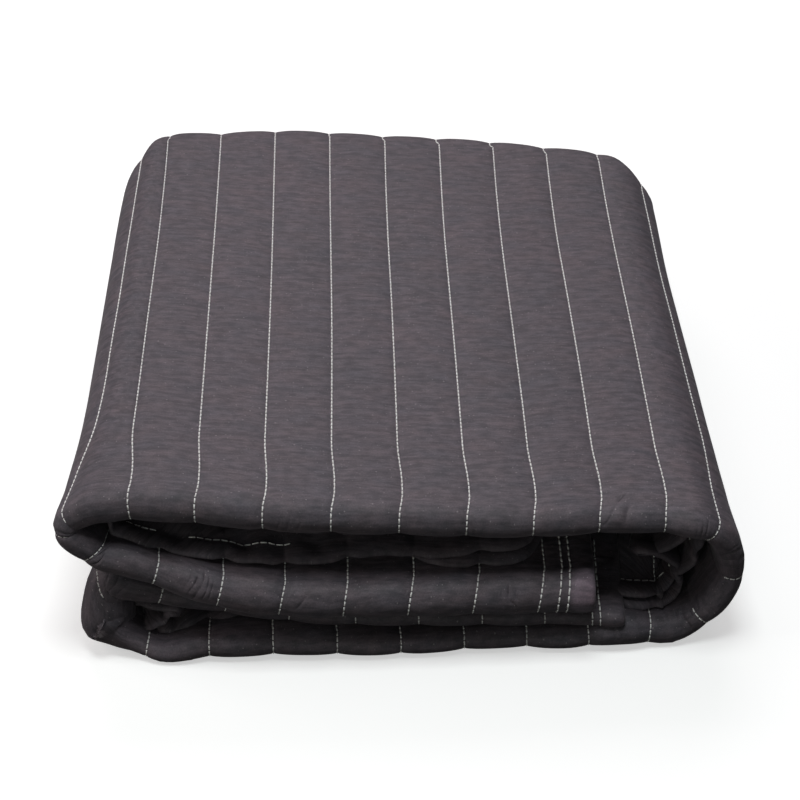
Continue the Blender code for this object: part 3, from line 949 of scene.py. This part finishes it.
# %% A line of stitches
def sew(path, out, pitch, keep):
    """Stitches along the kept points of a line: ten corners each. out points off the cloth."""
    gaps = np.linalg.norm(np.diff(path, axis=0), axis=1)
    run = np.concatenate([[0.0], np.cumsum(gaps)])
    middles = np.arange(0.5 * pitch, run[-1] - 0.5 * pitch, pitch)

    def at(line, shift):
        return np.stack([np.interp(middles + shift, run, line[:, k]) for k in range(3)], axis=1)

    start = at(path, -0.5 * STITCH_FILL * pitch)
    end = at(path, 0.5 * STITCH_FILL * pitch)
    out = at(out, 0.0)
    out /= np.linalg.norm(out, axis=1, keepdims=True)
    reach = end - start
    aside = np.cross(out, reach)
    aside /= np.linalg.norm(aside, axis=1, keepdims=True)
    slant = UNEVEN * pitch * np.sin(2.1 * np.arange(len(middles)))[:, None] * aside
    middle = (start + end) / 2 + out * THREAD_LIFT
    corners = [
        middle + reach * a + slant * (2 * a) + THREAD * (aside * b + out * c)
        for a, b, c in STITCH_POINTS
    ]
    corners = np.stack(corners, axis=1)
    corners[:, :, 2] = np.maximum(corners[:, :, 2], OFF_FLOOR)
    return corners[np.interp(middles, run, keep.astype(float)) > 0.5]


def thread_piece(name, stitches):
    """One piece of all these stitches. Its map says how far a point is from its stitch's middle."""
    corners = np.concatenate(stitches)
    count = len(STITCH_POINTS)
    starts = range(0, count * len(corners), count)
    made = [tuple(start + v for v in face) for start in starts for face in STITCH_FACES]
    reach = np.tile(np.abs([point[0] for point in STITCH_POINTS]), len(corners))
    points = (corners.reshape(-1, 3) * MM).tolist()
    thread = new_piece(name, points, made, "along the stitch", np.stack([reach, reach], axis=1))
    thread.data.shade_smooth()
    triangles = len(corners) * sum(len(face) - 2 for face in STITCH_FACES)
    print(name, len(corners), "stitches", triangles, "triangles")
    return thread


def steps_of(*stretches):
    return [i for i, stretch in enumerate(names) if stretch in stretches]


def column_of(place):
    return int(np.argmin(np.abs(whole - place)))


print("steps on the outside of the strip", len(steps_of("back fold", "layer 1", "front roll")))

# %% Sewn rows
SHOWING = 62.0               # how deep behind the front the inner layers can be seen
ROW_TURNED = 30.0            # how much of the back fold shows a row of an inner panel
HEM_TURNED = 40.0
OUTSIDE_ROWS = range(8, 33)  # rows that lie on the outside from front to back
HOLLOW_ROWS = range(17, 24)  # rows that cross the right side, where the hollow shows its inside
# rows that a crease or a fold hides, and the place along the strip up to which it hides them
BURIED = {9: 2.5, 19: -9.0, 20: -7.0, 21: -8.0, 31: 40.0, 32: 1.0}

outside_steps = steps_of("back fold", "layer 1", "front roll", "layer 2")
outer_face = names[outside_steps] != "layer 2"
row_stitches = []
for number, at in enumerate(rows):
    k = column_of(at)
    y = grid[outside_steps, k, 1]
    shown = (y > y.max() - ROW_TURNED) | (number in OUTSIDE_ROWS)
    keep = (y < y.min() + SHOWING) | (outer_face & shown)
    keep = keep & (strip[outside_steps, k] > BURIED.get(number, -math.inf))
    row_stitches.append(sew(outer[outside_steps, k], normal[outside_steps, k], ROW_STITCH, keep))
    in_hollow = number in HOLLOW_ROWS
    for layer, to_edge in (("layer 4", from_edge_4), ("layer 3", from_edge_3)):
        steps = steps_of(layer)
        away = to_edge[steps, k]
        past_hem = (away > EDGE_HEM - 1) & in_hollow
        near = past_hem & (away < SHOWING)
        far = past_hem & (layer == "layer 4")
        row_stitches.append(sew(outer[steps, k], normal[steps, k], ROW_STITCH, near | far))
        row_stitches.append(sew(inner[steps, k], -normal[steps, k], ROW_STITCH, near))
row_sewing = thread_piece("row_sewing", row_stitches)

# %% Sewn hems
HEM_SEEN = ((205, 325), (975, 1050))    # stretches of the free edges that can be seen
HEM_BREAKS = ((299, 3.5), (283, 5))     # where a crumple hides the thread, and how far each way

hem_stitches = []
for at in ALL_HEM_ROWS:
    k = column_of(at)
    y = grid[outside_steps, k, 1]
    keep = (y < y.min() + SHOWING) | (outer_face & (y > y.max() - HEM_TURNED))
    hem_stitches.append(sew(outer[outside_steps, k], normal[outside_steps, k], HEM_STITCH, keep))
in_sight = np.zeros(len(fine_places), dtype=bool)
for begin, end in HEM_SEEN:
    in_sight |= (fine_places > begin) & (fine_places < end)
for at, hidden in HEM_BREAKS:
    in_sight &= np.abs(fine_places - at) > hidden
edge_row = EDGE_STEPS.index(EDGE_HEM)
fine_columns = [column_of(place) for place in fine_places]
for step in (edge_row, last - edge_row):
    line = normal[step, fine_columns]
    hem_stitches.append(sew(outer[step, fine_columns], line, HEM_STITCH, in_sight))
    hem_stitches.append(sew(inner[step, fine_columns], -line, HEM_STITCH, in_sight))
hem_sewing = thread_piece("hem_sewing", hem_stitches)

# %% [markdown]
# ## The cloth and the thread
#
# The faces are a plain weave of fine dark yarn with a soft sheen. Close to, there are single
# threads, lighter slubs that run across the sewn rows, fine creases where the cloth is pinched, and
# a slow change of tone. Each effect is a node group that is built once. All of them read the flat
# cloth's own coordinates, so they run with the cloth round every fold. An image texture could be
# laid on instead, but nodes stay sharp close to and never repeat.

# %% Shared finishes
def new_group(name, inputs, outputs):
    """A shader node group with number inputs, a vector called Place, and the outputs named."""
    group = bpy.data.node_groups.new(name, "ShaderNodeTree")
    group.interface.new_socket("Place", in_out="INPUT", socket_type="NodeSocketVector")
    for label, value in inputs.items():
        socket = group.interface.new_socket(label, in_out="INPUT", socket_type="NodeSocketFloat")
        socket.default_value = value
    for label in outputs:
        group.interface.new_socket(label, in_out="OUTPUT", socket_type="NodeSocketFloat")
    return group, group.nodes.new("NodeGroupInput"), group.nodes.new("NodeGroupOutput")


def math_node(tree, operation, *values):
    """A math node fed by numbers or by other nodes."""
    node = tree.nodes.new("ShaderNodeMath")
    node.operation = operation
    for socket, value in zip(node.inputs, values):
        if isinstance(value, (int, float)):
            socket.default_value = value
        else:
            tree.links.new(value, socket)
    return node.outputs[0]


def noise(tree, place, size, detail):
    """A noise of about 0 to 1, with grains of this size in metres, or of a size for x and for y."""
    size = size + (1.0,) if isinstance(size, tuple) else (size,) * 3
    scaled = tree.nodes.new("ShaderNodeMapping")
    scaled.inputs["Scale"].default_value = [1.0 / s for s in size]
    tree.links.new(place, scaled.inputs["Vector"])
    node = tree.nodes.new("ShaderNodeTexNoise")
    node.inputs["Scale"].default_value = 1.0
    node.inputs["Detail"].default_value = detail
    tree.links.new(scaled.outputs[0], node.inputs["Vector"])
    return node.outputs["Fac"]


print("Blender", bpy.app.version_string, "shader helpers ready")

# %% Plain weave
# over and under threads as two crossed waves
group, given, result = new_group("plain weave", {"Threads per metre": 1500.0}, ["Height"])
parts = group.nodes.new("ShaderNodeSeparateXYZ")
group.links.new(given.outputs["Place"], parts.inputs[0])
waves = []
for axis in (0, 1):
    turn = math_node(group, "MULTIPLY", parts.outputs[axis], given.outputs["Threads per metre"])
    waves.append(math_node(group, "SINE", math_node(group, "MULTIPLY", turn, math.pi)))
crossed = math_node(group, "MULTIPLY", waves[0], waves[1])
group.links.new(math_node(group, "MULTIPLY_ADD", crossed, 0.5, 0.5), result.inputs["Height"])
print(group.name, "of", len(group.nodes), "nodes")

# %% Slubs and mottle
SLUBS = (
    # share, size across and along the rows, detail: long slubs, short slubs and blotches
    (0.4, (0.021, 0.0034), 3.0),
    (0.22, (0.0062, 0.0016), 1.0),
    (0.38, (0.0085, 0.0055), 2.0),
)
group, given, result = new_group("slubs", {}, ["Streaks", "Grain"])
streaked = 0.0
for share, size, detail in SLUBS:
    streak = noise(group, given.outputs["Place"], size, detail)
    streaked = math_node(group, "MULTIPLY_ADD", streak, share, streaked)
group.links.new(streaked, result.inputs["Streaks"])
grain = noise(group, given.outputs["Place"], (0.0011, 0.0009), 1.0)
group.links.new(grain, result.inputs["Grain"])
print(group.name, "of", len(group.nodes), "nodes")

# mottle: slow changes of tone
group, given, result = new_group("mottle", {}, ["Slow", "Patchy"])
for label, size, detail in (("Slow", (0.16, 0.12), 2.0), ("Patchy", (0.028, 0.016), 3.0)):
    group.links.new(noise(group, given.outputs["Place"], size, detail), result.inputs[label])
print(group.name, "of", len(group.nodes), "nodes")

# %% Creased patch
# short sharp creases side by side, in an oval about the middle of Place
group, given, result = new_group("creased patch", {"Spacing": 0.3, "Wander": 0.0}, ["Depth"])
parts = group.nodes.new("ShaderNodeSeparateXYZ")
group.links.new(given.outputs["Place"], parts.inputs[0])
far = group.nodes.new("ShaderNodeVectorMath")
far.operation = "DOT_PRODUCT"
for socket in (0, 1):
    group.links.new(given.outputs["Place"], far.inputs[socket])
inside = math_node(group, "SUBTRACT", 1.0, far.outputs["Value"])
inside = math_node(group, "MAXIMUM", inside, 0.0)
beat = math_node(group, "DIVIDE", parts.outputs[1], given.outputs["Spacing"])
beat = math_node(group, "ADD", beat, given.outputs["Wander"])
groove = math_node(group, "SINE", math_node(group, "MULTIPLY", beat, math.pi))
groove = math_node(group, "SUBTRACT", 1.0, math_node(group, "ABSOLUTE", groove))
groove = math_node(group, "POWER", groove, 1.2)
group.links.new(math_node(group, "MULTIPLY", groove, inside), result.inputs["Depth"])
print(group.name, "of", len(group.nodes), "nodes")

# %% [markdown]
# ## The cloth
#
# The cloth is charcoal, but not one colour: the warp and the weft differ a little in hue, so the
# slubs show as warmer and cooler streaks. It carries specks of lint. Where the first hem comes
# round the front, its end is painted paler, a painted highlight. Its bump is the weave, the slubs,
# the fine creases, and light ripples that run across the rows.

# %% Material helpers
def new_material(name):
    """A material, its node tree and its shader."""
    material = bpy.data.materials.new(name)
    material.use_nodes = True
    return material, material.node_tree, material.node_tree.nodes["Principled BSDF"]


def blend_colours(tree, kind, factor, first, second):
    node = tree.nodes.new("ShaderNodeMix")
    node.data_type = "RGBA"
    node.blend_type = kind
    for socket, value in ((0, factor), (6, first), (7, second)):
        socket = node.inputs[socket]
        if isinstance(value, (int, float)):
            socket.default_value = value
        elif isinstance(value, tuple):
            socket.default_value = value + (1.0,)
        else:
            tree.links.new(value, socket)
    return node.outputs[2]


def ramp(tree, value, low, high, first, second):
    """A colour that goes from first to second as the value goes from low to high."""
    node = tree.nodes.new("ShaderNodeValToRGB")
    for stop, position, tint in zip(node.color_ramp.elements, (low, high), (first, second)):
        stop.position = position
        stop.color = tint + (1.0,)
    tree.links.new(value, node.inputs[0])
    return node.outputs["Color"]


def tinted(tree, colour, *ramp_values):
    """The colour times a ramp's colour."""
    return blend_colours(tree, "MULTIPLY", 1.0, colour, ramp(tree, *ramp_values))


def oval(tree, place, middle, size, angle=0.0):
    """The place, measured from a middle in units of an oval's two half sizes, all in mm."""
    node = tree.nodes.new("ShaderNodeMapping")
    node.vector_type = "TEXTURE"
    node.inputs["Location"].default_value = (middle[0] * MM, middle[1] * MM, 0.0)
    node.inputs["Rotation"].default_value = (0.0, 0.0, math.radians(angle))
    node.inputs["Scale"].default_value = (size[0] * MM, size[1] * MM, 1.0)
    tree.links.new(place, node.inputs["Vector"])
    return node.outputs[0]


def use_group(tree, name, place):
    node = tree.nodes.new("ShaderNodeGroup")
    node.node_tree = bpy.data.node_groups[name]
    tree.links.new(place, node.inputs["Place"])
    return node


def finish(tree, shader, colour, height, strength, distance):
    """Gives a shader its colour, and a bump of this strength and distance."""
    bump = tree.nodes.new("ShaderNodeBump")
    bump.inputs["Strength"].default_value = strength
    bump.inputs["Distance"].default_value = distance
    tree.links.new(height, bump.inputs["Height"])
    tree.links.new(bump.outputs["Normal"], shader.inputs["Normal"])
    tree.links.new(colour, shader.inputs["Base Color"])


print("material helpers ready, groups so far:", len(bpy.data.node_groups))

# %% Cloth colour
WARM = (0.120, 0.100, 0.114)
COOL = (0.069, 0.060, 0.069)
LINT = (0.34, 0.30, 0.32)
PLAIN = (1.0, 1.0, 1.0)

cloth_look, tree, shader = new_material("quilted charcoal cloth")
flat_place = tree.nodes.new("ShaderNodeUVMap")
flat_place.uv_map = "flat cloth"
place = flat_place.outputs["UV"]
yarns = use_group(tree, "plain weave", place)
streaks = use_group(tree, "slubs", place)
tones = use_group(tree, "mottle", place)

TINTS = (
    # value, low, high, and the tints at low and at high
    (tones.outputs["Slow"], 0.3, 0.7, (0.93, 0.95, 0.97), (1.06, 1.03, 1.05)),
    (tones.outputs["Patchy"], 0.3, 0.72, (0.91, 0.955, 0.985), (1.09, 1.03, 1.015)),
    (streaks.outputs["Grain"], 0.35, 0.65, (0.88, 0.885, 0.89), (1.12, 1.11, 1.115)),
)
colour = ramp(tree, streaks.outputs["Streaks"], 0.41, 0.61, COOL, WARM)
for tint in TINTS:
    colour = tinted(tree, colour, *tint)
# specks of lint
specks = math_node(tree, "GREATER_THAN", noise(tree, place, 0.0016, 0.0), 0.8)
colour = blend_colours(tree, "MIX", math_node(tree, "MULTIPLY", specks, 0.5), colour, LINT)
# painted highlight: the end of the first hem, where it comes round the front, is painted paler
painted_hem_highlight = tree.nodes.new("ShaderNodeVectorMath")
painted_hem_highlight.operation = "LENGTH"
tree.links.new(oval(tree, place, (6.0, -9.0), (11.0, 18.0)), painted_hem_highlight.inputs[0])
colour = tinted(tree, colour, painted_hem_highlight.outputs["Value"], 0.55, 1.0, (1.9, 1.75, 1.85), PLAIN)
print("cloth colour of", len(tree.nodes), "nodes")

# %% Fine creases and ripples
FINE_CREASES = (
    # cloth  strip  angle  reach  half   spacing  depth
    (337, -6, 40, 10, 12, 5, 1.3),
    (271, -5, 80, 10, 13, 4.6, 1.3),
    (908, 2, 90, 12, 13, 5, 1.5),
    (866, -2, 105, 11, 11, 6, 0.9),
    (977, -6, 88, 11, 9, 6, 1.4),
    (957, -6, 60, 9, 9, 5, 0.5),
    (198, -6, 62, 9, 7, 6, 0.9),
    (54, -6, 122, 9, 7, 5, 0.9),
    (122, -9, 70, 8, 8, 6, 0.5),
    (800, 12, 55, 16, 14, 11, 0.9),
    (402, 4, 150, 12, 8, 7, 0.8),
    (1421, -2, 130, 14, 9, 8, 1),
    (1476, 2, 80, 12, 14, 7, 0.7),
    (1040, -4, 95, 9, 12, 7, 0.5),
    (585, -3, 80, 10, 12, 6, 0.5),
    (700, -4, 100, 9, 14, 7, 0.5),
)
wander = math_node(tree, "MULTIPLY", noise(tree, place, 0.016, 1.0), 1.8)
uneven = ramp(tree, noise(tree, place, 0.006, 0.0), 0.35, 0.6, (0.2, 0.2, 0.2), PLAIN)
fine_creases = 0.0
for at, on, angle, reach, half_width, spacing, depth in FINE_CREASES:
    local = oval(tree, place, (at, on), (reach, half_width), angle)
    creased = use_group(tree, "creased patch", local)
    creased.inputs["Spacing"].default_value = spacing / half_width
    tree.links.new(wander, creased.inputs["Wander"])
    fine_creases = math_node(tree, "MULTIPLY_ADD", creased.outputs["Depth"], depth, fine_creases)
fine_creases = math_node(tree, "MULTIPLY", fine_creases, uneven)
RELIEF = (
    # height, share
    (fine_creases, -1.2),
    (noise(tree, place, (0.024, 0.0042), 2.0), 0.65),
    (noise(tree, place, (0.065, 0.012), 2.0), 1.5),
    (streaks.outputs["Streaks"], 0.16),
    (yarns.outputs["Height"], 0.03),
)
height = 0.0
for part, share in RELIEF:
    height = math_node(tree, "MULTIPLY_ADD", part, share, height)
finish(tree, shader, colour, height, 0.8, 0.0011)
shader.inputs["Roughness"].default_value = 0.62
shader.inputs["Specular IOR Level"].default_value = 0.33
shader.inputs["Sheen Weight"].default_value = 0.12
shader.inputs["Sheen Roughness"].default_value = 0.45
shader.inputs["Sheen Tint"].default_value = (0.9, 0.86, 0.9, 1.0)
quilt.data.materials.append(cloth_look)
print("cloth of", len(tree.nodes), "nodes,", len(FINE_CREASES), "patches of fine creases")

# %% [markdown]
# ## The thread
#
# The thread is an off-white spun polyester. It has picked up a little of the dark cloth's dust, so
# each stretch of it is a slightly different white. The sunk ends of each stitch are painted dark,
# as painted shade where the thread dives into the cloth. One plain white would look painted on.

# %% Thread
thread_look, tree, shader = new_material("off-white thread")
spot = tree.nodes.new("ShaderNodeTexCoord").outputs["Object"]
dust = noise(tree, spot, 0.006, 2.0)
colour = ramp(tree, dust, 0.3, 0.7, (0.80, 0.77, 0.76), (0.97, 0.96, 0.95))
# painted shade: the sunk ends of each stitch are painted dark where the thread dives into the cloth
painted_end_shade = tree.nodes.new("ShaderNodeUVMap")
painted_end_shade.uv_map = "along the stitch"
colour = tinted(tree, colour, painted_end_shade.outputs["UV"], 0.41, 0.48, PLAIN, (0.16, 0.15, 0.16))
finish(tree, shader, colour, noise(tree, spot, 0.0004, 1.0), 0.5, 0.0002)
shader.inputs["Roughness"].default_value = 0.6
for sewing in (row_sewing, hem_sewing):
    sewing.data.materials.append(thread_look)
print("thread of", len(tree.nodes), "nodes")

# %% [markdown]
# ## What the frame needs to know
#
# The quilt takes the place of the solid, which is hidden, and it is tied to the frame's root. The
# sewing rides with it.

# %% Ties to the frame
for piece in (quilt, row_sewing, hem_sewing):
    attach(piece, "root")
    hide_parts("blanket")

# %% [markdown]
# ## Floor, light and camera
#
# The pack lies on a plain pale floor under soft light from above, behind and the left, as goods are
# shot for a catalogue: the top is bright, and the folds at the front fall away into shade. The
# floor glows for the camera alone, and throws little light back up under the folds. A sky image
# could light it too, but five lamps can each be set alone.

# %% Floor
bpy.ops.object.select_all(action="DESELECT")
bpy.ops.mesh.primitive_plane_add(size=12.0, location=(0.0, 0.0, 0.0))
floor = bpy.context.object
floor.name = "floor"
floor_look, tree, unused_shader = new_material("pale floor")
tree.nodes.remove(unused_shader)
lit = tree.nodes.new("ShaderNodeBsdfDiffuse")
lit.inputs["Color"].default_value = (0.75, 0.75, 0.75, 1.0)
glow = tree.nodes.new("ShaderNodeEmission")
glow.inputs["Strength"].default_value = 0.52
seen = tree.nodes.new("ShaderNodeAddShader")
bounced = tree.nodes.new("ShaderNodeBsdfDiffuse")
bounced.inputs["Color"].default_value = (0.06, 0.06, 0.06, 1.0)
rays = tree.nodes.new("ShaderNodeLightPath")
either = tree.nodes.new("ShaderNodeMixShader")
for output, socket in (
    (lit.outputs[0], seen.inputs[0]),
    (glow.outputs[0], seen.inputs[1]),
    (rays.outputs["Is Camera Ray"], either.inputs[0]),
    (bounced.outputs[0], either.inputs[1]),
    (seen.outputs[0], either.inputs[2]),
    (either.outputs[0], tree.nodes["Material Output"].inputs["Surface"]),
):
    tree.links.new(output, socket)
floor.data.materials.append(floor_look)
print("floor of", len(tree.nodes), "nodes")

# %% Lamps
def area_light(name, power, width, depth, place, target):
    """A rectangular lamp at a place, facing a target."""
    bpy.ops.object.select_all(action="DESELECT")
    bpy.ops.object.light_add(type="AREA", location=place)
    lamp = bpy.context.object
    lamp.name = name
    lamp.data.shape = "RECTANGLE"
    lamp.data.size = width
    lamp.data.size_y = depth
    lamp.data.energy = power
    away = Vector(place) - Vector(target)
    lamp.rotation_euler = away.to_track_quat("Z", "Y").to_euler()
    return lamp


LAMPS = (
    # name        power  width  depth  place  colour
    ("overhead", 13.9, 0.6, 0.6, (0.0, -0.36, 1.8), (0.945, 1.0, 0.99)),
    ("back", 13.3, 1.6, 1.2, (0.0, 1.3, 1.4), (1.0, 0.92, 0.95)),
    ("left", 10.7, 1.2, 1.2, (-1.6, 0.0, 0.9), (1.0, 0.935, 0.91)),
    ("front", 1.9, 1.6, 0.3, (0.0, -2.2, 0.45), (0.85, 1.0, 0.93)),
    ("low left", 2.1, 0.6, 0.3, (-1.2, -1.9, 0.3), (1.0, 0.98, 0.85)),
)
LIT_POINT = (0.0, -0.05, 0.07)
for lamp_name, power, width, depth, stands, tint in LAMPS:
    area_light(lamp_name, power, width, depth, stands, LIT_POINT).data.color = tint

world = bpy.data.worlds.new("studio")
bpy.context.scene.world = world
world.use_nodes = True
backdrop = world.node_tree.nodes["Background"]
backdrop.inputs["Color"].default_value = (1.0, 1.0, 1.0, 1.0)
backdrop.inputs["Strength"].default_value = 0.055
bpy.context.scene.view_settings.view_transform = "Standard"
print("lamps", len(LAMPS))

# %% Camera
bpy.ops.object.camera_add()
camera = bpy.context.object
camera.name = "camera"
camera.data.sensor_width = 36.0
camera.data.lens = 99.0
right = (0.99963, -0.02705, 0.0)
down = (-0.01647, -0.60854, -0.79335)
forwards = (0.02146, 0.79306, -0.60876)
stand = (-0.03133, -1.34352, 1.06521)
camera.matrix_world = Matrix([
    (right[k], -down[k], -forwards[k], stand[k]) for k in range(3)
] + [(0.0, 0.0, 0.0, 1.0)])
bpy.context.scene.camera = camera
print("camera with a lens of", camera.data.lens, "mm")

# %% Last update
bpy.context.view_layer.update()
